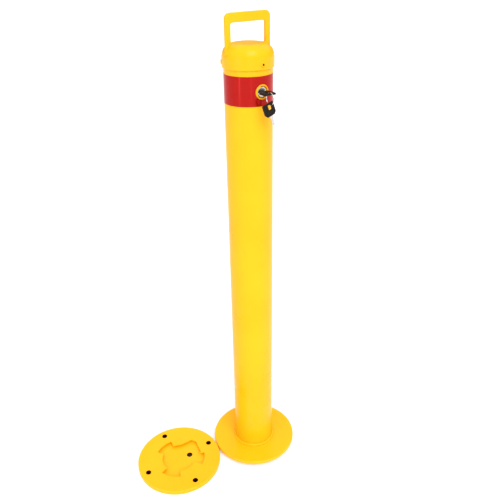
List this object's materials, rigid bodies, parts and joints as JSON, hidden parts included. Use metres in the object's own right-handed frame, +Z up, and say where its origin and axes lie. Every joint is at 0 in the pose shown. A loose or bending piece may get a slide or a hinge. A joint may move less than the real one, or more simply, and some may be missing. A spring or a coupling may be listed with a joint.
{
  "type": "removable bollard",
  "caption": "Removable round steel bollard with a foot flange, a domed cap with a carrying handle, a key lock that drops a pin, and a keyed ground plate.",
  "frame": {"origin": "the post's axis at the underside of its locking hub, which stands on the floor", "axes": "+Z up along the post, the lock faces -Y, the handle lies along X"},
  "size_m": [0.3974, 0.2352, 1.0217],
  "materials": {
    "yellow_paint": "glossy powder coat",
    "red_film": "reflective film",
    "bright_steel": "zinc plated",
    "dark_steel": "plain steel, oiled",
    "bronze": "plain bearing bronze",
    "black_plastic": "moulded"
  },
  "bodies": {
    "bollard": {"lug_hub": "yellow_paint", "hub_screws": "bright_steel", "base_flange": "yellow_paint", "post_tube": "yellow_paint", "reflective_band": "red_film", "top_cap": "yellow_paint", "carry_handle": "yellow_paint", "cap_screws": "bright_steel", "lock_collar": "yellow_paint", "lock_housing": "bright_steel", "lock_washer": "bright_steel", "lock_nut": "bright_steel", "ground_plate": "yellow_paint", "lower_guide": "dark_steel", "lower_bush": "bronze", "upper_guide": "dark_steel", "upper_bush": "bronze", "lock_spring": "dark_steel"},
    "lock_rod": {"lock_rod": "bright_steel", "rod_arm": "dark_steel", "arm_pin": "bright_steel", "spring_collar": "dark_steel", "collar_pin": "bright_steel"},
    "lock_plug": {"lock_plug": "bright_steel", "lock_cam": "dark_steel", "cam_screw": "bright_steel", "key_blade": "bright_steel", "key_bow": "black_plastic"},
    "key_ring": {"key_ring": "bright_steel"},
    "spare_key": {"spare_key_blade": "bright_steel", "spare_key_bow": "black_plastic"}
  },
  "joints": [
    {"name": "lock_rod_slide", "type": "slide", "parent": "bollard", "child": "lock_rod", "axis": [0, 0, 1], "range_m": [-0.0113, 0], "deforming": ["lock_spring"]},
    {"name": "key_turn", "type": "hinge", "parent": "bollard", "child": "lock_plug", "pos_m": [0, -0.0472, 0.89], "axis": [0, 1, 0], "range_deg": [-90, 0]},
    {"name": "key_ring_swing", "type": "hinge", "parent": "lock_plug", "child": "key_ring", "pos_m": [0, -0.07, 0.89], "axis": [1, 0, 0], "range_deg": [-50, 8]},
    {"name": "spare_key_swing", "type": "hinge", "parent": "key_ring", "child": "spare_key", "pos_m": [0, -0.07, 0.8712], "axis": [0, 1, 0], "range_deg": [-20, 45]}
  ],
  "couplings": [
    {"joint": "key_turn", "follows": "lock_rod_slide", "rad_per_m": 138.8}
  ]
}
